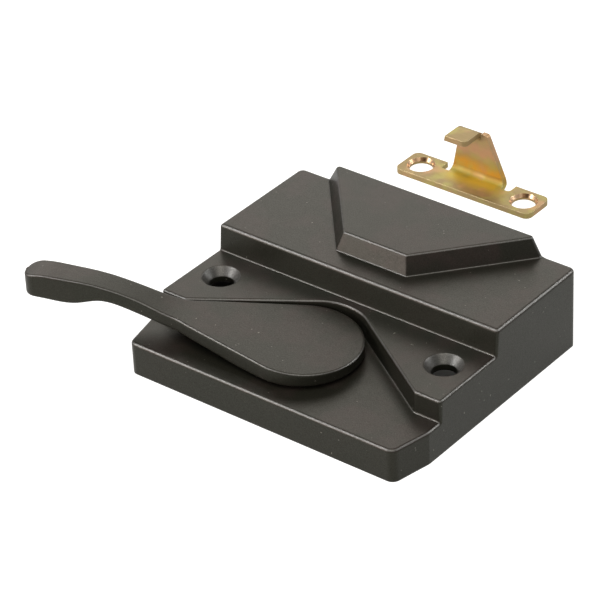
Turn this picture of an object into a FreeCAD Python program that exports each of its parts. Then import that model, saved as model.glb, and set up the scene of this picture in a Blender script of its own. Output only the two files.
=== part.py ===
import FreeCAD, Part

import math
import os

from FreeCAD import Vector

# Window sash lock: a hollow cast body with a swing lever and a cam hook, and the stamped keeper it
# holds. Millimetres, +Z up, with the mounting plane at Z = 0. +X runs along the window rail and +Y points
# from the room side towards the keeper. Shapes are drawn about the lever's pivot axis and exported with
# the origin at the middle of the front wall's bottom rim, which is the datum for fitting the lock.

# ---------------------------------------------------------------- driving dimensions
# body outline
WIDTH = 76.2
FRONT_WIDTH = 71.9
Y_FRONT = -17.8
Y_TAPER = -7.9
Y_REAR = 47.0
CORNER_R = 1.6
FRONT_CORNER_R = 2.0

# body levels above the mounting plane
PLATE_TOP = 8.1
EAR_TOP = 13.4
HOOD_TOP = 19.8
BOSS_TOP = 24.2

# recess that the lever hub sits in
RECESS_CORNER_X = 31.3
RECESS_CORNER_Y = -3.65
RECESS_ANGLE = 33.0
RECESS_ARC_R = 11.97
RECESS_CORNER_R = 1.5
RECESS_DRAFT = 0.15

# hood and the trapezoid boss on it
HOOD_FRONT_Y = 16.5
HOOD_LEAN = 0.67
BOSS_FOOT_Y = 23.1
BOSS_FOOT_FRONT = 19.25
BOSS_FOOT_REAR = 60.5
BOSS_TOP_Y = 24.75
BOSS_TOP_FRONT = 17.06

# rounding of the cast edges
PLATE_EDGE_R = 0.7
EAR_EDGE_R = 0.6
HOOD_EDGE_R = 0.8
BOSS_EDGE_R = 0.55
FOOT_R = 0.3

# walls and openings of the casting
WALL = 2.4
FLOOR_T = 2.5
EAR_WALL = 3.3
REAR_OPENING_W = 71.4
REAR_OPENING_TOP = 15.8
REAR_OPENING_R = 3.0
RIB_T = 1.6
RIB_DEPTH = 1.6
RIB_X = 22.0

# countersunk holes for the mounting screws
SCREW_SPACING = 61.2
SCREW_Y = 8.0
SCREW_HOLE_D = 5.7
SCREW_SINK_D = 8.7
SCREW_SINK_DEPTH = 1.9

# lever, measured along its centre line from the pivot axis
LEVER_REST_ANGLE = 195.9
LEVER_SWING = 74.1
LEVER_LENGTH = 67.4
LEVER_BOTTOM = 9.05
LEVER_EDGE_R = 0.4
HUB_R = 13.34
HUB_OFFSET = 1.0
HUB_TOP_BACK = 11.6
HUB_TOP_OUT = 14.1
HUB_TOP_END = 28.0
LEVER_TAPER = 19.4
NECK_START = 25.5
ARM_SIDE = [(28.5, 4.35), (32.5, 3.7), (37.0, 3.28), (46.0, 3.15)]
ARM_RIDGE = [(33.0, 14.75), (38.0, 16.05), (44.0, 17.35), (50.0, 18.1), (58.0, 18.25)]
ARM_UNDERSIDE = [(62.0, 12.25), (54.0, 12.5), (48.0, 14.2), (41.0, 13.35), (34.0, 11.8), (26.0, 10.7),
                 (16.0, 9.65)]
HUB_FLAT_END = 6.0
TIP_HALF = 3.45
TIP_R = 2.8
TIP_BOW = 0.3
TIP_TOP = 17.0
TIP_TOP_FALL = 0.28
TIP_BOTTOM = 12.7

# pivot stack
SPINDLE_D = 9.0
SPINDLE_TOP = 11.2
SPINDLE_END = 2.5
DRIVE_FLATS = 6.5
RUN_GAP = 0.05
FIT_GAP = 0.02
BUSH_D = 12.0
BUSH_FLANGE_D = 17.0
BUSH_FLANGE_T = 0.9
THRUST_D = 18.4
THRUST_T = 0.5
CAM_T = 2.0
CAM_HUB_R = 9.6
CAM_FLAT = 9.2
CAM_ARM_W = 8.0
CAM_FINGER_W = 5.6
CAM_REACH = 27.0
CAM_TAPER_START = 15.0
CAM_TAPER_END = 20.0
CAM_FINGER_TOP = 9.9
CAM_FINGER_R = 1.4
CAM_BEND_R = 0.8
WAVE_D = 14.0
WAVE_T = 0.25
WAVE_COUNT = 3
RETAINER_D = 14.0
RETAINER_T = 0.6
SCREW_D = 4.0
SCREW_HEAD_D = 7.0
SCREW_HEAD_T = 1.5
SCREW_HEAD_EDGE_R = 0.6
SCREW_SOCKET = 2.5
SCREW_SOCKET_DEPTH = 1.0
SCREW_LENGTH = 5.0

# stops and detent spring under the floor
STOP_R = 2.0
STOP_ALONG = 11.5
STOP_GAP = 0.15
STOP_BOTTOM = 2.8
LEAF_T = 0.5
LEAF_H = 2.2
LEAF_HALF = 17.0
LEAF_SAG = 2.0
LUG_W = 5.0
LUG_H = 3.4
LUG_OVERHANG = 0.8

# keeper, at its place beside the body
KEEPER_X = -19.6
KEEPER_REAR_Y = 92.9
KEEPER_HEIGHT = 14.25
STRIP_L = 39.2
STRIP_W = 9.3
SHEET_T = 1.4
STRIP_CORNER_R = 1.7
KEEPER_HOLE_SPACING = 30.1
KEEPER_HOLE_D = 5.7
KEEPER_SINK_D = 6.9
KEEPER_SINK_DEPTH = 0.85
KEEPER_HOLE_FROM_REAR = 4.5
NOTCH_DEPTH = 3.0
NOTCH_W = 2.4
NOTCH_CORNER_R = 0.8
TAB_LEFT = -7.9
TAB_RIGHT = 7.4
TAB_TOP_RIGHT = 2.2
TAB_SHOULDER_DROP = 0.9
TAB_SHOULDER_R = 0.8
FLAP_LEFT = -5.1
FLAP_RIGHT = 0.6
FLAP_LENGTH = 6.5
FLAP_CORNER_R = 1.2
FOOT_BEND_R = 1.6
TOP_BEND_R = 1.4

HALF = WIDTH / 2
OVERCUT = 0.02
PIVOT_FROM_RIM = -Y_FRONT - WALL / 2
FLOOR_BOTTOM = PLATE_TOP - FLOOR_T
CAM_TOP = FLOOR_BOTTOM - THRUST_T - 2 * FIT_GAP
CAM_BOTTOM = CAM_TOP - CAM_T
TAB_FOOT_Y = -FOOT_BEND_R - SHEET_T


# ---------------------------------------------------------------- small helpers
def disc(radius, z_low, z_high, x=0.0, y=0.0):
    return Part.makeCylinder(radius, z_high - z_low, Vector(x, y, z_low))


def ring(r_out, r_in, z_low, z_high):
    return disc(r_out, z_low, z_high).cut(disc(r_in, z_low - 1, z_high + 1))


def box(x0, x1, y0, y1, z0, z1):
    return Part.makeBox(x1 - x0, y1 - y0, z1 - z0, Vector(x0, y0, z0))


def polygon(points, z=0.0):
    corners = [Vector(x, y, z) for x, y in points]
    return Part.makePolygon(corners + corners[:1])


def prism(points, z_low, z_high):
    return Part.Face(polygon(points, z_low)).extrude(Vector(0, 0, z_high - z_low))


def turned(shape, degrees):
    copy = shape.copy()
    copy.rotate(Vector(0, 0, 0), Vector(0, 0, 1), degrees)
    return copy


def double_flat(diameter, flats, z_low, z_high):
    side = box(-flats / 2, flats / 2, -diameter, diameter, z_low, z_high)
    return disc(diameter / 2, z_low, z_high).common(side)


def middle(edge):
    return edge.valueAt((edge.FirstParameter + edge.LastParameter) / 2)


def stands_upright(edge, lean=0.8, shortest=0.5):
    a, b = edge.Vertexes[0].Point, edge.Vertexes[-1].Point
    return math.hypot(a.x - b.x, a.y - b.y) < lean and abs(a.z - b.z) > shortest


def upright_edges(shape, places, tol=0.3):
    found = []
    for edge in shape.Edges:
        point = middle(edge)
        near = any(abs(point.x - x) < tol and abs(point.y - y) < tol for x, y in places)
        if near and stands_upright(edge):
            found.append(edge)
    return found


def is_outer_corner(shape, point, reach=0.15, below=0.1):
    for step in range(8):
        angle = math.radians(45 * step)
        offset = Vector(reach * math.cos(angle), reach * math.sin(angle), -below)
        if not shape.isInside(point + offset, 0.001, True):
            return True
    return False


def level_edges(shape, level, outer, tol=0.02):
    found = []
    for edge in shape.Edges:
        flat = all(abs(v.Point.z - level) < tol for v in edge.Vertexes)
        if flat and is_outer_corner(shape, middle(edge)) == outer:
            found.append(edge)
    return found


# ---------------------------------------------------------------- body
def recess_arc_centre():
    angle = math.radians(RECESS_ANGLE)
    reach = RECESS_CORNER_X * math.sin(angle) - RECESS_ARC_R
    return RECESS_CORNER_Y + reach / math.cos(angle)


def mirrored(p):
    return Vector(-p.x, p.y, p.z)


def recess_wire(level, grow):
    # the open area in front of the ears: short front edges, rounded corners, diagonals and the arc
    angle = math.radians(RECESS_ANGLE)
    down_slope = Vector(math.cos(angle), -math.sin(angle), 0)
    centre = Vector(0, recess_arc_centre(), level)
    arc_r = RECESS_ARC_R - grow
    front = RECESS_CORNER_Y - grow
    tangent = centre + Vector(math.sin(angle), math.cos(angle), 0) * arc_r
    corner = tangent + down_slope * ((tangent.y - front) / math.sin(angle))
    cut = RECESS_CORNER_R * math.tan(angle / 2)
    on_front = corner + Vector(cut, 0, 0)
    on_slope = corner - down_slope * cut
    turn_centre = on_front + Vector(0, RECESS_CORNER_R, 0)
    bulge = turn_centre + (corner - turn_centre).normalize() * RECESS_CORNER_R
    apex = centre + Vector(0, arc_r, 0)
    side = Vector(HALF + OVERCUT, front, level)
    outside = Vector(HALF + OVERCUT, Y_FRONT - OVERCUT, level)
    return Part.Wire([
        Part.makeLine(outside, side),
        Part.makeLine(side, on_front),
        Part.Arc(on_front, bulge, on_slope).toShape(),
        Part.makeLine(on_slope, tangent),
        Part.Arc(tangent, apex, mirrored(tangent)).toShape(),
        Part.makeLine(mirrored(tangent), mirrored(on_slope)),
        Part.Arc(mirrored(on_slope), mirrored(bulge), mirrored(on_front)).toShape(),
        Part.makeLine(mirrored(on_front), mirrored(side)),
        Part.makeLine(mirrored(side), mirrored(outside)),
        Part.makeLine(mirrored(outside), outside),
    ])


def recess_tool(grow_foot, grow_top, z_low, z_high):
    return Part.makeLoft([recess_wire(z_low, grow_foot), recess_wire(z_high, grow_top)], True, True)


def body_outline(inset=0.0, y_rear=Y_REAR):
    half = HALF - inset
    front_half = FRONT_WIDTH / 2 - inset
    front = Y_FRONT + inset
    return [
        (half, y_rear), (-half, y_rear), (-half, Y_TAPER),
        (-front_half, front), (front_half, front), (half, Y_TAPER),
    ]


def hood_block():
    profile = [
        Vector(-HALF, HOOD_FRONT_Y, 0), Vector(-HALF, HOOD_FRONT_Y, EAR_TOP),
        Vector(-HALF, HOOD_FRONT_Y + HOOD_LEAN, HOOD_TOP),
        Vector(-HALF, Y_REAR, HOOD_TOP), Vector(-HALF, Y_REAR, 0),
    ]
    face = Part.Face(Part.makePolygon(profile + profile[:1]))
    return face.extrude(Vector(WIDTH, 0, 0))


def boss_frustum(inset, z_low, z_high, y_rear):
    # the top trapezoid keeps the slope of the foot's sides, so every face is flat
    slope = (BOSS_FOOT_REAR - BOSS_FOOT_FRONT) / 2 / (Y_REAR - BOSS_FOOT_Y)

    def outline(y_front, front_width, level):
        front = front_width / 2 - inset
        rear = front + slope * (y_rear - y_front - inset)
        corners = [(-front, y_front + inset), (front, y_front + inset), (rear, y_rear), (-rear, y_rear)]
        return [Vector(x, y, level) for x, y in corners]

    foot = outline(BOSS_FOOT_Y, BOSS_FOOT_FRONT, z_low)
    top = outline(BOSS_TOP_Y, BOSS_TOP_FRONT, z_high)
    rings = [foot, top]
    for i in range(4):
        j = (i + 1) % 4
        rings.append([foot[i], foot[j], top[j], top[i]])
    faces = [Part.Face(Part.makePolygon(corners + corners[:1])) for corners in rings]
    return Part.makeSolid(Part.makeShell(faces))


def rounded_body():
    body = prism(body_outline(), 0, EAR_TOP)
    body = body.cut(recess_tool(RECESS_DRAFT, 0.0, PLATE_TOP, EAR_TOP))
    body = body.fuse(hood_block()).fuse(boss_frustum(0.0, HOOD_TOP, BOSS_TOP, Y_REAR))
    body = body.removeSplitter()
    corners = [(HALF, Y_REAR, CORNER_R), (FRONT_WIDTH / 2, Y_FRONT, FRONT_CORNER_R)]
    for x, y, radius in corners:
        body = body.makeFillet(radius, upright_edges(body, [(x, y), (-x, y)]))
    for level in (PLATE_TOP, EAR_TOP, HOOD_TOP):
        body = body.makeFillet(FOOT_R, level_edges(body, level, outer=False))
    edges = [(PLATE_TOP, PLATE_EDGE_R), (EAR_TOP, EAR_EDGE_R), (HOOD_TOP, HOOD_EDGE_R),
             (BOSS_TOP, BOSS_EDGE_R)]
    for level, radius in edges:
        body = body.makeFillet(radius, level_edges(body, level, outer=True))
    return body


def cavity():
    inner = HALF - WALL
    back = Y_REAR - WALL
    ear_ceiling = EAR_TOP - EAR_WALL
    hood_front = HOOD_FRONT_Y + HOOD_LEAN + WALL
    low = prism(body_outline(WALL, back), -1, FLOOR_BOTTOM)
    ears = box(-inner, inner, Y_FRONT, back, -1, ear_ceiling)
    ears = ears.cut(recess_tool(-WALL, -WALL, -2, ear_ceiling + 1))
    hood = box(-inner, inner, hood_front, back, -1, HOOD_TOP - WALL)
    boss = boss_frustum(WALL, HOOD_TOP - WALL - 1, BOSS_TOP - WALL, back)
    half = REAR_OPENING_W / 2
    opening = box(-half, half, back - 1, Y_REAR + 1, -1, REAR_OPENING_TOP)
    along_y = [e for e in opening.Edges if abs(middle(e).z - REAR_OPENING_TOP) < 0.01]
    along_y = [e for e in along_y if abs(abs(middle(e).x) - half) < 0.01]
    opening = opening.makeFillet(REAR_OPENING_R, along_y)
    return low.fuse(ears).fuse(hood).fuse(boss).fuse(opening)


def screw_hole(x):
    shank = disc(SCREW_HOLE_D / 2, 0, HOOD_TOP, x, SCREW_Y)
    foot = Vector(x, SCREW_Y, EAR_TOP - SCREW_SINK_DEPTH)
    sink = Part.makeCone(SCREW_HOLE_D / 2, SCREW_SINK_D / 2, SCREW_SINK_DEPTH, foot)
    above = disc(SCREW_SINK_D / 2, EAR_TOP, EAR_TOP + 1, x, SCREW_Y)
    return shank.fuse(sink).fuse(above)


def leaf_strip(grow=0.0, bottom_grow=0.0):
    # bowed strip whose middle clears the round of the cam hub
    bow_r = (LEAF_HALF ** 2 + LEAF_SAG ** 2) / (2 * LEAF_SAG)
    centre_y = -(CAM_HUB_R + RUN_GAP) - bow_r
    z_low = CAM_BOTTOM - bottom_grow
    z_high = CAM_BOTTOM + LEAF_H + grow
    strip = disc(bow_r + grow, z_low, z_high, 0, centre_y)
    strip = strip.cut(disc(bow_r - LEAF_T - grow, z_low - 1, z_high + 1, 0, centre_y))
    reach = LEAF_HALF + grow
    return strip.common(box(-reach, reach, centre_y, 0, z_low, z_high))


def leaf_lugs():
    # one lug near each end of the strip, slotted for it
    y_mid = -(CAM_HUB_R + RUN_GAP + LEAF_SAG * 0.8 + LEAF_T / 2)
    outer = LEAF_HALF + LUG_OVERHANG
    lug = box(outer - LUG_W, outer, y_mid - LUG_H / 2, y_mid + LUG_H / 2, STOP_BOTTOM, FLOOR_BOTTOM + 1)
    return lug.fuse(flipped(lug)).cut(leaf_strip(FIT_GAP, 1.0))


def flipped(shape):
    return shape.mirror(Vector(0, 0, 0), Vector(1, 0, 0))


def stop_posts():
    across = CAM_ARM_W / 2 + STOP_R + STOP_GAP
    closed = disc(STOP_R, STOP_BOTTOM, FLOOR_BOTTOM + 1, across, STOP_ALONG)
    opened = turned(disc(STOP_R, STOP_BOTTOM, FLOOR_BOTTOM + 1, -across, STOP_ALONG), LEVER_SWING)
    return closed.fuse(opened)


def hood_ribs():
    y_low = HOOD_FRONT_Y + WALL
    z_low = HOOD_TOP - WALL - RIB_DEPTH
    rib = box(RIB_X - RIB_T / 2, RIB_X + RIB_T / 2, y_low, Y_REAR - 1, z_low, HOOD_TOP - 1)
    return rib.fuse(flipped(rib))


def make_housing():
    body = rounded_body().cut(cavity())
    body = body.fuse(stop_posts()).fuse(leaf_lugs()).fuse(hood_ribs())
    for side in (-1, 1):
        body = body.cut(screw_hole(side * SCREW_SPACING / 2))
    body = body.cut(disc(BUSH_D / 2 + FIT_GAP, 0, PLATE_TOP + 1))
    return body


# ---------------------------------------------------------------- lever
def curve(points, start_dir=None, end_dir=None):
    spline = Part.BSplineCurve()
    if start_dir is None:
        spline.interpolate(points)
    else:
        spline.interpolate(Points=points, InitialTangent=start_dir, FinalTangent=end_dir)
    return spline.toShape()


def lever_plan():
    # round hub, straight flanks, a hollow neck, a slender arm and a blunt tip
    half_angle = math.radians(LEVER_TAPER)
    along = Vector(math.cos(half_angle), -math.sin(half_angle), 0)
    tangent = Vector(HUB_OFFSET + HUB_R * math.sin(half_angle), HUB_R * math.cos(half_angle), 0)
    neck = tangent + along * ((NECK_START - tangent.x) / along.x)
    tip_start = Vector(LEVER_LENGTH - TIP_BOW - TIP_R, TIP_HALF, 0)
    side = [neck] + [Vector(s, half, 0) for s, half in ARM_SIDE] + [tip_start]
    corner = Vector(LEVER_LENGTH - TIP_BOW, TIP_HALF - TIP_R, 0)
    diagonal = TIP_R * (1 - math.cos(math.radians(45)))
    bulge = Vector(corner.x - diagonal, TIP_HALF - diagonal, 0)
    upper = [
        Part.makeLine(tangent, neck),
        curve(side, along, Vector(1, 0.02, 0)),
        Part.Arc(tip_start, bulge, corner).toShape(),
    ]
    lower = [edge.mirror(Vector(0, 0, 0), Vector(0, 1, 0)) for edge in upper]
    end = Part.Arc(corner, Vector(LEVER_LENGTH, 0, 0), Vector(corner.x, -corner.y, 0)).toShape()
    back = Part.Arc(tangent, Vector(HUB_OFFSET - HUB_R, 0, 0), Vector(tangent.x, -tangent.y, 0)).toShape()
    return Part.Face(Part.Wire(Part.__sortEdges__(upper + [end] + lower + [back])))


def lever_side():
    # side view: a straight hub top that rises into the arched arm, and a lower side that follows it
    def p(s, z):
        return Vector(s, -HUB_R * 2, z)

    back, tip = -HUB_R - 1, LEVER_LENGTH + 1
    top_slope = (HUB_TOP_OUT - HUB_TOP_BACK) / (HUB_TOP_END + HUB_R - HUB_OFFSET)
    hub_end = p(HUB_TOP_END, HUB_TOP_OUT)
    hub_back = p(back, HUB_TOP_OUT - top_slope * (HUB_TOP_END - back))
    ridge = [hub_end] + [p(s, z) for s, z in ARM_RIDGE] + [p(tip, TIP_TOP)]
    underside = [p(tip, TIP_BOTTOM)] + [p(s, z) for s, z in ARM_UNDERSIDE] + [p(HUB_FLAT_END, LEVER_BOTTOM)]
    edges = [
        Part.makeLine(hub_back, hub_end),
        curve(ridge, Vector(1, 0, top_slope), Vector(1, 0, -TIP_TOP_FALL)),
        Part.makeLine(ridge[-1], underside[0]),
        curve(underside, Vector(-1, 0, -0.2), Vector(-1, 0, 0)),
        Part.makeLine(underside[-1], p(back, LEVER_BOTTOM)),
        Part.makeLine(p(back, LEVER_BOTTOM), hub_back),
    ]
    return Part.Face(Part.Wire(edges)).extrude(Vector(0, HUB_R * 4, 0))


def make_lever():
    column = lever_plan().extrude(Vector(0, 0, BOSS_TOP))
    lever = column.common(lever_side()).removeSplitter()
    rims = [e for e in lever.Edges if not stands_upright(e)]
    lever = lever.makeFillet(LEVER_EDGE_R, rims)
    socket = double_flat(SPINDLE_D, DRIVE_FLATS, LEVER_BOTTOM - 1, SPINDLE_TOP)
    return turned(lever, LEVER_REST_ANGLE).cut(socket)


# ---------------------------------------------------------------- pivot stack
def make_spindle():
    drive = DRIVE_FLATS
    spindle = disc(SPINDLE_D / 2, CAM_TOP + FIT_GAP, LEVER_BOTTOM)
    spindle = spindle.fuse(double_flat(SPINDLE_D, drive, LEVER_BOTTOM, SPINDLE_TOP))
    spindle = spindle.fuse(double_flat(SPINDLE_D, drive, SPINDLE_END, CAM_TOP + FIT_GAP))
    tapped = disc(SCREW_D / 2 + FIT_GAP, 0, SPINDLE_END - RETAINER_T + SCREW_LENGTH + 0.5)
    return spindle.cut(tapped)


def make_pivot_bush():
    flange = disc(BUSH_FLANGE_D / 2, PLATE_TOP, PLATE_TOP + BUSH_FLANGE_T)
    sleeve = disc(BUSH_D / 2, FLOOR_BOTTOM, PLATE_TOP)
    bore = disc(SPINDLE_D / 2 + RUN_GAP, 0, HOOD_TOP)
    return flange.fuse(sleeve).cut(bore)


def make_thrust_washer():
    z_low = CAM_TOP + FIT_GAP
    return ring(THRUST_D / 2, SPINDLE_D / 2 + RUN_GAP, z_low, z_low + THRUST_T)


def make_cam_hook():
    hub = disc(CAM_HUB_R, CAM_BOTTOM, CAM_TOP)
    for angle in (0, -LEVER_SWING):
        waste = box(-CAM_HUB_R, CAM_HUB_R, -CAM_HUB_R - 1, -CAM_FLAT, CAM_BOTTOM - 1, CAM_TOP + 1)
        hub = hub.cut(turned(waste, angle))
    wide, slim = CAM_ARM_W / 2, CAM_FINGER_W / 2
    arm = prism([(-wide, 0), (wide, 0), (wide, CAM_TAPER_START), (slim, CAM_TAPER_END),
                 (slim, CAM_REACH), (-slim, CAM_REACH), (-slim, CAM_TAPER_END),
                 (-wide, CAM_TAPER_START)], CAM_BOTTOM, CAM_TOP)
    inner = CAM_REACH - CAM_T
    finger = box(-slim, slim, inner, CAM_REACH, CAM_BOTTOM, CAM_FINGER_TOP)
    cam = hub.fuse(arm).fuse(finger).removeSplitter()
    cam = cam.makeFillet(CAM_T, edges_along_x(cam, CAM_REACH, CAM_BOTTOM))
    cam = cam.makeFillet(CAM_BEND_R, edges_along_x(cam, inner, CAM_TOP))
    corners = [e for e in cam.Edges if is_at(e, y=(inner + CAM_REACH) / 2, z=CAM_FINGER_TOP)]
    cam = cam.makeFillet(CAM_FINGER_R, corners)
    return cam.cut(double_flat(SPINDLE_D + 2 * FIT_GAP, DRIVE_FLATS + 2 * FIT_GAP, 0, HOOD_TOP))


def is_at(edge, y=None, z=None, tol=0.02):
    point = middle(edge)
    return (y is None or abs(point.y - y) < tol) and (z is None or abs(point.z - z) < tol)


def edges_along_x(shape, y, z):
    found = []
    for edge in shape.Edges:
        a, b = edge.Vertexes[0].Point, edge.Vertexes[-1].Point
        if is_at(edge, y, z) and abs(a.y - b.y) < 0.02 and abs(a.z - b.z) < 0.02:
            found.append(edge)
    return found


def make_wave_washer():
    # one strip of flat spring wire rolled into a ring whose height follows a sine
    low = SPINDLE_END + FIT_GAP
    height = CAM_BOTTOM - FIT_GAP - low - WAVE_T
    r_in = SPINDLE_D / 2 + 0.3

    def wavy_circle(radius, lift):
        count = WAVE_COUNT * 16
        points = []
        for i in range(count):
            a = 2 * math.pi * i / count
            z = low + lift + height * (1 + math.sin(WAVE_COUNT * a)) / 2
            points.append(Vector(radius * math.cos(a), radius * math.sin(a), z))
        spline = Part.BSplineCurve()
        spline.interpolate(Points=points, PeriodicFlag=True)
        return spline.toShape()

    inner, outer = wavy_circle(r_in, 0), wavy_circle(WAVE_D / 2, 0)
    inner_up, outer_up = wavy_circle(r_in, WAVE_T), wavy_circle(WAVE_D / 2, WAVE_T)
    pairs = [(inner, outer), (outer, outer_up), (outer_up, inner_up), (inner_up, inner)]
    shell = Part.makeShell([Part.makeRuledSurface(a, b) for a, b in pairs])
    solid = Part.makeSolid(shell)
    if solid.Volume < 0:
        solid.reverse()
    return solid


def make_retaining_washer():
    return ring(RETAINER_D / 2, SCREW_D / 2 + 0.15, SPINDLE_END - RETAINER_T, SPINDLE_END)


def make_retaining_screw():
    seat = SPINDLE_END - RETAINER_T
    bottom = seat - SCREW_HEAD_T
    head = disc(SCREW_HEAD_D / 2, bottom, seat)
    head = head.makeFillet(SCREW_HEAD_EDGE_R, [e for e in head.Edges if is_at(e, z=bottom)])
    across = SCREW_SOCKET / math.sqrt(3)
    turns = [math.radians(60 * i) for i in range(6)]
    hexagon = [(across * math.cos(a), across * math.sin(a)) for a in turns]
    socket = prism(hexagon, bottom - 1, bottom + SCREW_SOCKET_DEPTH)
    return head.fuse(disc(SCREW_D / 2, seat, seat + SCREW_LENGTH)).cut(socket)


# ---------------------------------------------------------------- keeper
def keeper_strip():
    half = STRIP_L / 2
    notch_left, notch_right = TAB_LEFT - NOTCH_W, TAB_RIGHT + NOTCH_W
    outline = [(-half, -STRIP_W), (half, -STRIP_W), (half, 0), (notch_right, 0), (notch_right, -NOTCH_DEPTH),
               (TAB_RIGHT, -NOTCH_DEPTH), (TAB_RIGHT, TAB_FOOT_Y), (TAB_LEFT, TAB_FOOT_Y),
               (TAB_LEFT, -NOTCH_DEPTH), (notch_left, -NOTCH_DEPTH), (notch_left, 0), (-half, 0)]
    strip = prism(outline, 0, SHEET_T)
    corners = [(-half, -STRIP_W), (half, -STRIP_W), (half, 0), (-half, 0)]
    strip = strip.makeFillet(STRIP_CORNER_R, upright_edges(strip, corners))
    notches = [(notch_left, -NOTCH_DEPTH), (notch_right, -NOTCH_DEPTH)]
    strip = strip.makeFillet(NOTCH_CORNER_R, upright_edges(strip, notches))
    for side in (-1, 1):
        x = side * KEEPER_HOLE_SPACING / 2
        strip = strip.cut(disc(KEEPER_HOLE_D / 2, -1, SHEET_T + 1, x, -KEEPER_HOLE_FROM_REAR))
        foot = Vector(x, -KEEPER_HOLE_FROM_REAR, SHEET_T - KEEPER_SINK_DEPTH)
        strip = strip.cut(Part.makeCone(KEEPER_HOLE_D / 2, KEEPER_SINK_D / 2, KEEPER_SINK_DEPTH, foot))
    return strip


def keeper_bent_sheet():
    # side section of the tab: up from the strip through one bend, then forward through the other
    foot_in, foot_out = FOOT_BEND_R, FOOT_BEND_R + SHEET_T
    top_in, top_out = TOP_BEND_R, TOP_BEND_R + SHEET_T
    top, front = KEEPER_HEIGHT, -SHEET_T - FLAP_LENGTH

    def p(y, z):
        return Vector(TAB_LEFT - 1, y, z)

    def arc(y, z, radius, start, end):
        def at(angle):
            return p(y + radius * math.cos(math.radians(angle)), z + radius * math.sin(math.radians(angle)))

        return Part.Arc(at(start), at((start + end) / 2), at(end)).toShape()

    edges = [
        arc(-foot_out, foot_out, foot_out, -90, 0),
        Part.makeLine(p(0, foot_out), p(0, top - top_out)),
        arc(-top_out, top - top_out, top_out, 0, 90),
        Part.makeLine(p(-top_out, top), p(front, top)),
        Part.makeLine(p(front, top), p(front, top - SHEET_T)),
        Part.makeLine(p(front, top - SHEET_T), p(-top_out, top - SHEET_T)),
        arc(-top_out, top - top_out, top_in, 90, 0),
        Part.makeLine(p(-SHEET_T, top - top_out), p(-SHEET_T, foot_out)),
        arc(-foot_out, foot_out, foot_in, 0, -90),
        Part.makeLine(p(-foot_out, SHEET_T), p(-foot_out, 0)),
    ]
    width = TAB_RIGHT - TAB_LEFT + 2
    return Part.Face(Part.Wire(edges)).extrude(Vector(width, 0, 0))


def keeper_tab():
    # the sheet stands straight beside the flap and folds forward only across the flap's width
    shoulder = KEEPER_HEIGHT - TAB_SHOULDER_DROP
    foot_top = FOOT_BEND_R + SHEET_T
    side = TAB_RIGHT + 2
    sheet = keeper_bent_sheet().cut(box(FLAP_RIGHT, side, -STRIP_W, 1, foot_top, KEEPER_HEIGHT + 1))
    sheet = sheet.fuse(box(FLAP_RIGHT, side, -SHEET_T, 0, foot_top, shoulder))
    outline = [(TAB_LEFT, -1), (TAB_RIGHT, -1), (TAB_RIGHT, SHEET_T), (TAB_TOP_RIGHT, shoulder),
               (FLAP_RIGHT, shoulder), (FLAP_RIGHT, KEEPER_HEIGHT + 1), (FLAP_LEFT, KEEPER_HEIGHT + 1),
               (TAB_LEFT, SHEET_T)]
    corners = [Vector(x, STRIP_W, z) for x, z in outline]
    face = Part.Face(Part.makePolygon(corners + corners[:1]))
    tab = sheet.common(face.extrude(Vector(0, -3 * STRIP_W, 0))).removeSplitter()
    rim = [e for e in tab.Edges if is_at(e, -SHEET_T / 2, shoulder)]
    outer = max(rim, key=lambda e: middle(e).x)
    return tab.makeFillet(TAB_SHOULDER_R, [outer])


def make_keeper():
    tab = keeper_tab()
    flap_front = -SHEET_T - FLAP_LENGTH
    flap_corners = [(FLAP_LEFT, flap_front), (FLAP_RIGHT, flap_front)]
    tab = tab.makeFillet(FLAP_CORNER_R, upright_edges(tab, flap_corners))
    keeper = keeper_strip().fuse(tab).removeSplitter()
    keeper.translate(Vector(KEEPER_X, KEEPER_REAR_Y, 0))
    return keeper


MAKERS = {
    "housing": make_housing,
    "lever": make_lever,
    "spindle": make_spindle,
    "pivot_bush": make_pivot_bush,
    "thrust_washer": make_thrust_washer,
    "cam_hook": make_cam_hook,
    "wave_washer": make_wave_washer,
    "retaining_washer": make_retaining_washer,
    "retaining_screw": make_retaining_screw,
    "detent_spring": leaf_strip,
    "keeper": make_keeper,
}


os.makedirs("parts", exist_ok=True)
for node, maker in MAKERS.items():
    shape = maker()
    shape.translate(Vector(0, PIVOT_FROM_RIM, 0))
    shape.exportStep(f"parts/{node}.step")
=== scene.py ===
import math

import bpy
from mathutils import Matrix, Vector


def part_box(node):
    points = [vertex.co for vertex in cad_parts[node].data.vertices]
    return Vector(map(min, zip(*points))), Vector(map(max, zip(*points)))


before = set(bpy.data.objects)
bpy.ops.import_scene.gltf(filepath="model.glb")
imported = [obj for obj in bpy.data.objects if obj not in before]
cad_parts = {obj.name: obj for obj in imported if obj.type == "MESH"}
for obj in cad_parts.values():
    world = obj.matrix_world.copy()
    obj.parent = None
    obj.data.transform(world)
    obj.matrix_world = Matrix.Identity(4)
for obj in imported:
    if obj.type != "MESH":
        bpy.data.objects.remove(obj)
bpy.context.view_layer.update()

# Looks of a window sash lock: satin dark bronze castings and a yellow-zinc keeper. Everything is in
# metres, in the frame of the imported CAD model.

MM = 0.001

# ---------------------------------------------------------------- camera
CAMERA_AZIMUTH = 39.69
CAMERA_ELEVATION = 33.13
CAMERA_ROLL = -2.85
CAMERA_DISTANCE = 653.3 * MM
CAMERA_TARGET = (0.06 * MM, 14.7 * MM, 23.79 * MM)
CAMERA_CLIP = (0.01, 20)
SENSOR_WIDTH = 36.0
LENS = 183.8

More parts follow.
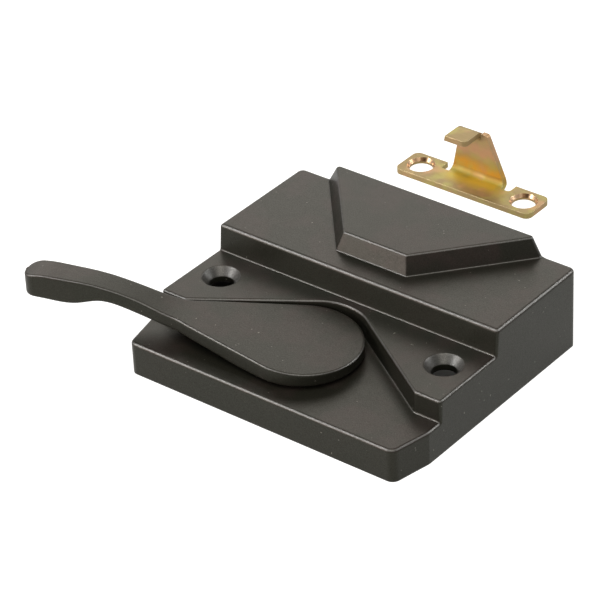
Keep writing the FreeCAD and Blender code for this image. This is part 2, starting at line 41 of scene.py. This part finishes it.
# ---------------------------------------------------------------- colours, linear RGB
BRONZE_DARK = (0.0125, 0.0122, 0.0090, 1)
BRONZE_RED = (0.0215, 0.0165, 0.0142, 1)
BRONZE_WORN = (0.12, 0.115, 0.10, 1)
BRONZE_SHEEN = (1.0, 0.965, 0.87, 1)
BRONZE_SIDE_SHEEN = (0.97, 1.0, 0.84, 1)
BRONZE_ROSY_SHEEN = (1.0, 0.90, 0.83, 1)
# tint of the boosted specular that paints brighter highlight lines on leaning faces
BRONZE_HIGHLIGHT_TINT = (1.0, 0.985, 0.95, 1)
GOLD_TOP = (0.265, 0.19, 0.08, 1)
GOLD_SIDE = (0.31, 0.22, 0.095, 1)
GOLD_ORANGE = (0.52, 0.26, 0.03, 1)
# painted reflection of the tab on the strip in front of it
GOLD_TAB_REFLECTION = (0.56, 0.42, 0.035, 1)
# painted shade in the bend's crease
GOLD_CREASE_SHADE = (0.22, 0.12, 0.02, 1)
# painted highlight along the sheet's edges
GOLD_EDGE_HIGHLIGHT = (0.66, 0.56, 0.36, 1)
GOLD_RIM = (0.60, 0.40, 0.24, 1)
# painted dark reflection at the back of each hole
GOLD_RIM_SHADE = (0.10, 0.05, 0.02, 1)
GOLD_PINK = (0.50, 0.27, 0.15, 1)
GOLD_GREEN = (0.36, 0.33, 0.09, 1)
CLEAR_ZINC = (0.50, 0.52, 0.55, 1)
STEEL = (0.38, 0.38, 0.39, 1)
SPRING = (0.14, 0.145, 0.16, 1)
ACETAL = (0.012, 0.012, 0.013, 1)
ACETAL_DUSTY = (0.03, 0.03, 0.032, 1)
PAPER_DARKER = (0.44, 0.44, 0.44, 1)
PAPER_LIGHTER = (0.46, 0.46, 0.46, 1)
WHITE = (1, 1, 1, 1)
WARM_LIGHT = (1.0, 0.965, 0.89)
ROSY_LIGHT = (1.0, 0.91, 0.86)
WHITE_LIGHT = (1.0, 1.0, 1.0)
# how much darker smudges and brighter edges are than the inner metals they lie on
SMUDGE_DARKER = 0.55
EDGE_BRIGHTER = 1.35

# ---------------------------------------------------------------- noise textures
# waves per metre, detail, and roughness where it is not the usual one
BRONZE_PATCHES = (95, 2)
BRONZE_PATCH_BREAKUP = (420, 3)
BRONZE_GRAIN = (3800, 3, 0.6)
BRONZE_FLECKS = (1250, 1, 0.4)
BRONZE_WEAR = (500, 4)
BRONZE_GLOSS = (900, 4)
BRONZE_RIPPLE = (300, 2)
TINT_PATCHES = (150, 2)
GREEN_PATCHES = (260, 3)
ROLLING_LINES = (2600, 3, 0.6)
SHEET_DIMPLES = (600, 3)
METAL_SMUDGES = (260, 4)
METAL_GRAIN = (1800, 4, 0.65)
ACETAL_HAZE = (500, 3)
ACETAL_GLOSS = (1500, 3)
ACETAL_GRAIN = (2500, 3)
PAPER_CLOUDS = (40, 3)
PAPER_GRAIN = (900, 3)
NOISE_SPAN = (0.3, 0.7)
USUAL_NOISE_ROUGHNESS = 0.55
ROLLING_STRETCH = (0.12, 1, 1)

# ---------------------------------------------------------------- roughness, shine and bumps
BRONZE_ROUGHNESS = (0.29, 0.35)
BRONZE_HIGHLIGHT_ROUGHER = 0.12
BRONZE_SPECULAR = (0.24, 1.0)
BRONZE_GRAIN_SPARKLE = (0.7, 1.3)
SHEET_ROUGHNESS = (0.40, 0.52)
CREASE_ROUGHER = 0.15
RIM_SMOOTHER = 0.14
SHEET_METALLIC = (0.6, 0.8)
ZINC_ROUGHNESS = (0.26, 0.42)
SPRING_ROUGHNESS = (0.3, 0.45)
STEEL_ROUGHNESS = (0.22, 0.36)
ACETAL_ROUGHNESS = (0.38, 0.55)
PAPER_ROUGHNESS = 0.85
PAPER_SPECULAR = 0.1
# strength and height of the bumps
BRONZE_RIPPLE_BUMP = (0.15, 0.03 * MM)
BRONZE_GRAIN_BUMP = (0.9, 0.025 * MM)
ROLLING_BUMP = (0.25, 0.02 * MM)
DIMPLE_BUMP = (0.25, 0.03 * MM)
METAL_BUMP = (0.3, 0.02 * MM)
ACETAL_BUMP = (0.3, 0.02 * MM)
PAPER_BUMP = (0.05, 0.05 * MM)

# ---------------------------------------------------------------- rounded and worn edges, and painted edge highlights
BRONZE_ROUNDING = 0.6 * MM
BRONZE_WORN_EDGE = 0.3 * MM
SHEET_ROUNDING = 0.25 * MM
SHEET_HIGHLIGHT_EDGE = 0.22 * MM
METAL_BRIGHT_EDGE = 0.25 * MM
ROUNDING_SAMPLES = 6

# ---------------------------------------------------------------- masks
# Each pair is (value where the mask is 0, value where it is 1), and a band has a pair for each side.
# "Lean" is the upward part of a face's normal: 1 on level faces, 0 on upright ones.
EDGE_AGREEMENT = (0.995, 0.86)
LEVEL_LEAN = (0.1, 0.35)
HIGHLIGHT_LEAN = ((0.42, 0.56), (0.95, 0.85))
STRIP_LEAN = (0.3, 0.9)
RIM_LEAN = ((0.2, 0.4), (0.9, 0.75))
NOT_UNDERNEATH = (-0.5, 0.0)
BRONZE_PATCH_EDGE = (0.44, 0.58)
FLECK_EDGE = (0.775, 0.80)
WEAR_EDGE = (0.5, 0.62)
GREEN_EDGE = (0.46, 0.66)
PINK_EDGE = (0.52, 0.66)
SMUDGE_EDGE = (0.35, 0.7)
# how strong a mask is at most, or how much of it is left
UPRIGHT_MOTTLE = 0.2
BROKEN_MOTTLE = 0.5
WEAR_MOST = 0.35
PINK_BAND_MOST = 0.7
TAB_REFLECTION_MOST = 0.85
CREASE_SHADE_MOST = 0.6
GREEN_MOST = 0.6
PINK_MOST = 0.5
SHEET_HIGHLIGHT_MOST = 0.45
METAL_EDGE_MOST = 0.5
SMUDGE_MOST = 0.3
HAZE_MOST = 0.4

# ---------------------------------------------------------------- places of the keeper's tints, painted crease shade and painted tab reflection
TINT_WANDER = 5 * MM
ORANGE_FADES = (9 * MM, 6 * MM)
ABOVE_STRIP = (1.5 * MM, 2.2 * MM)
PINK_BAND = ((8 * MM, 10 * MM), (15 * MM, 12 * MM))
# the bend's crease, painted darker and made rougher
CREASE_BAND = ((1.5 * MM, 1.8 * MM), (3.2 * MM, 2.6 * MM))
# where the painted reflection of the tab lies on the strip
TAB_REFLECTION_HEIGHT = (3.0 * MM, 1.3 * MM)
TAB_REFLECTION_WIDTH = (11 * MM, 6 * MM)
TAB_REFLECTION_FROM_REAR = (7.5 * MM, 4 * MM)
HOLES_FROM_MIDDLE = (10 * MM, 11 * MM)
RIM_BACK_FACING = (0.84, 0.90)
RIM_BACK_TURN = 0.5

# ---------------------------------------------------------------- stage and light
FLOOR_HALF = 3.0
FLOOR_GLOW = 0.55
FLOOR_GLOW_SEEN = 0.85
GLOW_ENDS_INSIDE = (4 * MM, 1 * MM)
WORLD_GLOW = 0.32
LIGHT_AIM = (0, 0.03, 0)
# name: direction from the aim, distance, width and height, radiance, colour
LIGHT_BOXES = {
    "softbox_back": ((-0.536, 0.645, 0.545), 1.2, (1.0, 0.8), 2.2, WARM_LIGHT),
    "softbox_low_front": ((-0.60, -0.80, 0.16), 1.0, (0.7, 0.30), 9.0, ROSY_LIGHT),
    "softbox_above": ((0.25, -0.30, 0.92), 1.0, (0.5, 1.0), 4.5, WARM_LIGHT),
    "highlight_front_left": ((-0.54, -0.54, 0.64), 1.0, (0.26, 0.26), 34.0, WHITE_LIGHT),
    "highlight_back_right": ((0.545, 0.645, 0.536), 1.1, (0.30, 0.30), 22.0, WHITE_LIGHT),
}


# ---------------------------------------------------------------- node helpers
class Graph:
    """A material's node tree with short calls for the nodes used here."""

    def __init__(self, name):
        self.material = bpy.data.materials.new(name)
        self.material.use_nodes = True
        self.tree = self.material.node_tree
        self.shader = self.tree.nodes["Principled BSDF"]
        self.place = self.add("ShaderNodeTexCoord").outputs["Object"]

    def add(self, kind, **settings):
        node = self.tree.nodes.new(kind)
        for key, value in settings.items():
            setattr(node, key, value)
        return node

    def link(self, source, target):
        self.tree.links.new(source, target)

    def feed(self, target, value):
        if isinstance(value, bpy.types.NodeSocket):
            self.link(value, target)
        else:
            target.default_value = value

    def split(self, vector):
        parts = self.add("ShaderNodeSeparateXYZ")
        self.link(vector, parts.inputs[0])
        return parts.outputs

    def noise(self, scale, detail, roughness=USUAL_NOISE_ROUGHNESS, vector=None):
        node = self.add("ShaderNodeTexNoise")
        self.link(vector or self.place, node.inputs["Vector"])
        node.inputs["Scale"].default_value = scale
        node.inputs["Detail"].default_value = detail
        node.inputs["Roughness"].default_value = roughness
        return node.outputs["Fac"]

    def math(self, operation, a, b=0.0):
        node = self.add("ShaderNodeMath", operation=operation)
        self.feed(node.inputs[0], a)
        self.feed(node.inputs[1], b)
        return node.outputs[0]

    def times(self, a, b):
        return self.math("MULTIPLY", a, b)

    def distance(self, a, b):
        return self.math("ABSOLUTE", self.math("SUBTRACT", a, b))

    def remap(self, value, low, high, to_low=0.0, to_high=1.0):
        node = self.add("ShaderNodeMapRange")
        self.feed(node.inputs["Value"], value)
        node.inputs["From Min"].default_value = low
        node.inputs["From Max"].default_value = high
        node.inputs["To Min"].default_value = to_low
        node.inputs["To Max"].default_value = to_high
        return node.outputs["Result"]

    def between(self, mask, at_zero, at_one):
        return self.remap(mask, 0.0, 1.0, at_zero, at_one)

    def spread(self, texture, low, high):
        # noise mostly stays inside NOISE_SPAN, so that part is stretched to reach from low to high
        return self.remap(texture, *NOISE_SPAN, low, high)

    def patches(self, texture, edge, most=1.0):
        return self.remap(self.noise(*texture), *edge, 0.0, most)

    def band(self, value, ends):
        rise, fall = ends
        return self.times(self.remap(value, *rise), self.remap(value, *fall))

    def mix(self, factor, a, b):
        node = self.add("ShaderNodeMix", data_type="RGBA")
        self.feed(node.inputs["Factor"], factor)
        colour_a, colour_b = [s for s in node.inputs if s.type == "RGBA"]
        self.feed(colour_a, a)
        self.feed(colour_b, b)
        return [s for s in node.outputs if s.type == "RGBA"][0]

    def bump(self, height, strength, distance, normal=None):
        node = self.add("ShaderNodeBump")
        node.inputs["Strength"].default_value = strength
        node.inputs["Distance"].default_value = distance
        self.link(height, node.inputs["Height"])
        if normal is not None:
            self.link(normal, node.inputs["Normal"])
        return node.outputs["Normal"]

    def rounded_normal(self, radius):
        node = self.add("ShaderNodeBevel", samples=ROUNDING_SAMPLES)
        node.inputs["Radius"].default_value = radius
        return node.outputs["Normal"]

    def true_normal(self):
        return self.add("ShaderNodeNewGeometry").outputs["Normal"]

    def edge_mask(self, radius):
        # 0 on flats and up to 1 on outer and inner edges, from how far a rounded normal leans away
        dot = self.add("ShaderNodeVectorMath", operation="DOT_PRODUCT")
        self.link(self.rounded_normal(radius), dot.inputs[0])
        self.link(self.true_normal(), dot.inputs[1])
        return self.remap(dot.outputs["Value"], *EDGE_AGREEMENT)

    def finish(self, colour, roughness, normal, metallic=0.0, specular=0.5):
        self.feed(self.shader.inputs["Base Color"], colour)
        self.feed(self.shader.inputs["Roughness"], roughness)
        self.feed(self.shader.inputs["Metallic"], metallic)
        self.feed(self.shader.inputs["Specular IOR Level"], specular)
        self.link(normal, self.shader.inputs["Normal"])
        return self.material


# ---------------------------------------------------------------- bronze paint
def bronze_mottle(g, levelness):
    # warm patches of random tone, kept strong on level faces and faint on upright ones, which paints the
    # warm sheen that level faces catch
    broad = g.patches(BRONZE_PATCHES, BRONZE_PATCH_EDGE)
    broken = g.times(broad, g.spread(g.noise(*BRONZE_PATCH_BREAKUP), BROKEN_MOTTLE, 1.0))
    return g.times(broken, g.between(levelness, UPRIGHT_MOTTLE, 1.0))


def bronze_wear(g):
    # patchy wear along edges, and small scattered flecks
    worn = g.times(g.edge_mask(BRONZE_WORN_EDGE), g.patches(BRONZE_WEAR, WEAR_EDGE, WEAR_MOST))
    return g.math("MAXIMUM", worn, g.patches(BRONZE_FLECKS, FLECK_EDGE))


def bronze_paint():
    g = Graph("bronze_paint")
    lean = g.split(g.true_normal())["Z"]
    levelness = g.remap(lean, *LEVEL_LEAN)
    mottle = bronze_mottle(g, levelness)
    colour = g.mix(mottle, BRONZE_DARK, BRONZE_RED)
    colour = g.mix(bronze_wear(g), colour, BRONZE_WORN)
    # edges and countersinks, which lean between level and upright, get a stronger, whiter and broader
    # specular: a painted boost of their highlight lines
    highlight_boost = g.band(lean, HIGHLIGHT_LEAN)
    grain = g.noise(*BRONZE_GRAIN)
    flat_roughness = g.spread(g.noise(*BRONZE_GLOSS), *BRONZE_ROUGHNESS)
    roughness = g.math("ADD", flat_roughness, g.times(highlight_boost, BRONZE_HIGHLIGHT_ROUGHER))
    specular = g.times(g.between(highlight_boost, *BRONZE_SPECULAR), g.spread(grain, *BRONZE_GRAIN_SPARKLE))
    normal = g.rounded_normal(BRONZE_ROUNDING)
    normal = g.bump(g.noise(*BRONZE_RIPPLE), *BRONZE_RIPPLE_BUMP, normal)
    normal = g.bump(grain, *BRONZE_GRAIN_BUMP, normal)
    # the sheen is warm on level faces and olive on upright ones
    sheen = g.mix(mottle, BRONZE_SHEEN, BRONZE_ROSY_SHEEN)
    sheen = g.mix(levelness, BRONZE_SIDE_SHEEN, sheen)
    g.feed(g.shader.inputs["Specular Tint"], g.mix(highlight_boost, sheen, BRONZE_HIGHLIGHT_TINT))
    return g.finish(colour, roughness, normal, specular=specular)


# ---------------------------------------------------------------- yellow zinc
def tab_colour(g, height, lean):
    # orange low on the tab and pink above it, with wandering borders; level faces are duller
    wandering = g.math("ADD", height, g.times(g.noise(*TINT_PATCHES), TINT_WANDER))
    orange = g.times(g.remap(wandering, *ORANGE_FADES), g.remap(height, *ABOVE_STRIP))
    side = g.mix(orange, GOLD_SIDE, GOLD_ORANGE)
    side = g.mix(g.times(g.band(wandering, PINK_BAND), PINK_BAND_MOST), side, GOLD_PINK)
    return g.mix(g.remap(lean, *STRIP_LEAN), side, GOLD_TOP)


def painted_tab_reflection(g, place, lean, from_middle):
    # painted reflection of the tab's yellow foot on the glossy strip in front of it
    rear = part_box("keeper")[1][1]
    near_rear = [rear - distance for distance in TAB_REFLECTION_FROM_REAR]
    reflection_patch = g.times(g.remap(from_middle, *TAB_REFLECTION_WIDTH), g.remap(place["Y"], *near_rear))
    reflection_patch = g.times(reflection_patch, g.remap(place["Z"], *TAB_REFLECTION_HEIGHT))
    return g.times(reflection_patch, g.remap(lean, *NOT_UNDERNEATH))


def rim_colour(g, facing):
    # polished by the punch, with a painted dark reflection at the back of each hole
    back_wall = g.math("SUBTRACT", g.times(facing["X"], RIM_BACK_TURN), facing["Y"])
    return g.mix(g.remap(back_wall, *RIM_BACK_FACING), GOLD_RIM, GOLD_RIM_SHADE)


def rolling_lines(g):
    along_strip = g.add("ShaderNodeMapping")
    g.link(g.place, along_strip.inputs["Vector"])
    along_strip.inputs["Scale"].default_value = ROLLING_STRETCH
    return g.noise(*ROLLING_LINES, along_strip.outputs["Vector"])


def yellow_zinc():
    g = Graph("yellow_zinc")
    place = g.split(g.place)
    facing = g.split(g.true_normal())
    lean = facing["Z"]
    low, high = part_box("keeper")
    from_middle = g.distance(place["X"], (low[0] + high[0]) / 2)
    crease = g.band(place["Z"], CREASE_BAND)
    rim = g.times(g.band(lean, RIM_LEAN), g.remap(from_middle, *HOLES_FROM_MIDDLE))
    colour = tab_colour(g, place["Z"], lean)
    # a painted yellow reflection of the tab lies on the strip in front of it
    reflection_patch = painted_tab_reflection(g, place, lean, from_middle)
    colour = g.mix(g.times(reflection_patch, TAB_REFLECTION_MOST), colour, GOLD_TAB_REFLECTION)
    # painted shade darkens the bend's crease
    colour = g.mix(g.times(crease, CREASE_SHADE_MOST), colour, GOLD_CREASE_SHADE)
    colour = g.mix(g.patches(GREEN_PATCHES, GREEN_EDGE, GREEN_MOST), colour, GOLD_GREEN)
    colour = g.mix(g.patches(TINT_PATCHES, PINK_EDGE, PINK_MOST), colour, GOLD_PINK)
    # a lighter colour along the edges is a painted highlight
    colour = g.mix(g.times(g.edge_mask(SHEET_HIGHLIGHT_EDGE), SHEET_HIGHLIGHT_MOST), colour, GOLD_EDGE_HIGHLIGHT)
    colour = g.mix(rim, colour, rim_colour(g, facing))
    lines = rolling_lines(g)
    roughness = g.math("ADD", g.spread(lines, *SHEET_ROUGHNESS), g.times(crease, CREASE_ROUGHER))
    roughness = g.math("SUBTRACT", roughness, g.times(rim, RIM_SMOOTHER))
    normal = g.bump(lines, *ROLLING_BUMP, g.rounded_normal(SHEET_ROUNDING))
    normal = g.bump(g.noise(*SHEET_DIMPLES), *DIMPLE_BUMP, normal)
    return g.finish(colour, roughness, normal, metallic=g.between(rim, *SHEET_METALLIC))


# ---------------------------------------------------------------- inner metals and plastic
def scaled(colour, factor):
    return tuple(min(1.0, factor * c) for c in colour[:3]) + (1,)


def inner_metal(name, colour, roughness):
    g = Graph(name)
    smudge = g.patches(METAL_SMUDGES, SMUDGE_EDGE, SMUDGE_MOST)
    tinted = g.mix(smudge, colour, scaled(colour, SMUDGE_DARKER))
    bright_edge = g.times(g.edge_mask(METAL_BRIGHT_EDGE), METAL_EDGE_MOST)
    tinted = g.mix(bright_edge, tinted, scaled(colour, EDGE_BRIGHTER))
    grain = g.noise(*METAL_GRAIN)
    return g.finish(tinted, g.spread(grain, *roughness), g.bump(grain, *METAL_BUMP), metallic=1.0)


def black_acetal():
    g = Graph("black_acetal")
    colour = g.mix(g.spread(g.noise(*ACETAL_HAZE), 0.0, HAZE_MOST), ACETAL, ACETAL_DUSTY)
    roughness = g.spread(g.noise(*ACETAL_GLOSS), *ACETAL_ROUGHNESS)
    return g.finish(colour, roughness, g.bump(g.noise(*ACETAL_GRAIN), *ACETAL_BUMP))


def dress_nodes():
    bronze = bronze_paint()
    zinc = inner_metal("clear_zinc", CLEAR_ZINC, ZINC_ROUGHNESS)
    spring = inner_metal("spring_steel", SPRING, SPRING_ROUGHNESS)
    acetal = black_acetal()
    finishes = {
        "housing": bronze,
        "lever": bronze,
        "keeper": yellow_zinc(),
        "cam_hook": zinc,
        "retaining_washer": zinc,
        "retaining_screw": zinc,
        "spindle": inner_metal("turned_steel", STEEL, STEEL_ROUGHNESS),
        "wave_washer": spring,
        "detent_spring": spring,
        "pivot_bush": acetal,
        "thrust_washer": acetal,
    }
    for node, material in finishes.items():
        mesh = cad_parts[node].data
        mesh.materials.clear()
        mesh.materials.append(material)


# ---------------------------------------------------------------- stage
def outside_body(g):
    # 0 well under the lock body and 1 outside it
    place = g.split(g.place)
    low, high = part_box("housing")
    outside = 0.0
    for axis in (0, 1):
        middle, half = (low[axis] + high[axis]) / 2, (high[axis] - low[axis]) / 2
        fade = [half - inset for inset in GLOW_ENDS_INSIDE]
        outside = g.math("MAXIMUM", outside, g.remap(g.distance(place[axis], middle), *fade))
    return outside


def floor_material():
    # white paper on a light table, so shadows stay faint; the glow is shaded off under the lock body
    # and is brighter to the camera than to the object
    g = Graph("floor_paper")
    colour = g.mix(g.noise(*PAPER_CLOUDS), PAPER_DARKER, PAPER_LIGHTER)
    seen = g.add("ShaderNodeLightPath").outputs["Is Camera Ray"]
    glow = g.between(seen, FLOOR_GLOW, FLOOR_GLOW_SEEN)
    g.feed(g.shader.inputs["Emission Color"], WHITE)
    g.feed(g.shader.inputs["Emission Strength"], g.times(outside_body(g), glow))
    normal = g.bump(g.noise(*PAPER_GRAIN), *PAPER_BUMP)
    return g.finish(colour, PAPER_ROUGHNESS, normal, specular=PAPER_SPECULAR)


def make_floor():
    mesh = bpy.data.meshes.new("floor")
    corners = [(-1, -1), (1, -1), (1, 1), (-1, 1)]
    mesh.from_pydata([(x * FLOOR_HALF, y * FLOOR_HALF, 0) for x, y in corners], [], [(0, 1, 2, 3)])
    floor = bpy.data.objects.new("floor", mesh)
    bpy.context.scene.collection.objects.link(floor)
    mesh.materials.append(floor_material())


# ---------------------------------------------------------------- light and camera
def area_light(name, place, aim, size, power, colour):
    data = bpy.data.lights.new(name, "AREA")
    data.shape = "RECTANGLE"
    data.size, data.size_y = size
    data.energy = power
    data.color = colour
    light = bpy.data.objects.new(name, data)
    light.location = place
    light.rotation_mode = "QUATERNION"
    light.rotation_quaternion = (aim - place).to_track_quat("-Z", "Y")
    # the highlight boxes show only as reflections, so they leave shaded faces dark
    light.visible_diffuse = not name.startswith("highlight")
    bpy.context.scene.collection.objects.link(light)


def make_lights():
    # a broad box behind gives level faces their sheen, a low one in front lights leaning faces, one above
    # fills in, and two small bright ones draw the lines along rounded edges
    aim = Vector(LIGHT_AIM)
    for name, (direction, distance, size, radiance, colour) in LIGHT_BOXES.items():
        place = aim + Vector(direction).normalized() * distance
        power = radiance * math.pi * size[0] * size[1]
        area_light(name, place, aim, size, power, colour)


def make_world():
    world = bpy.data.worlds.new("studio")
    world.use_nodes = True
    background = world.node_tree.nodes["Background"]
    background.inputs["Color"].default_value = WHITE
    background.inputs["Strength"].default_value = WORLD_GLOW
    bpy.context.scene.world = world


def make_camera():
    az, el, roll = (math.radians(a) for a in (CAMERA_AZIMUTH, CAMERA_ELEVATION, CAMERA_ROLL))
    back = Vector((math.sin(az) * math.cos(el), -math.cos(az) * math.cos(el), math.sin(el)))
    right = Vector((math.cos(az), math.sin(az), 0))
    up = back.cross(right)
    tilted_right = math.cos(roll) * right + math.sin(roll) * up
    tilted_up = -math.sin(roll) * right + math.cos(roll) * up
    data = bpy.data.cameras.new("camera")
    data.sensor_width = SENSOR_WIDTH
    data.lens = LENS
    data.clip_start, data.clip_end = CAMERA_CLIP
    camera = bpy.data.objects.new("camera", data)
    columns = Matrix((tilted_right, tilted_up, back)).transposed().to_4x4()
    columns.translation = Vector(CAMERA_TARGET) + back * CAMERA_DISTANCE
    camera.matrix_world = columns
    bpy.context.scene.collection.objects.link(camera)
    bpy.context.scene.camera = camera


dress_nodes()
make_floor()
make_lights()
make_world()
make_camera()
bpy.context.scene.view_settings.view_transform = "Standard"
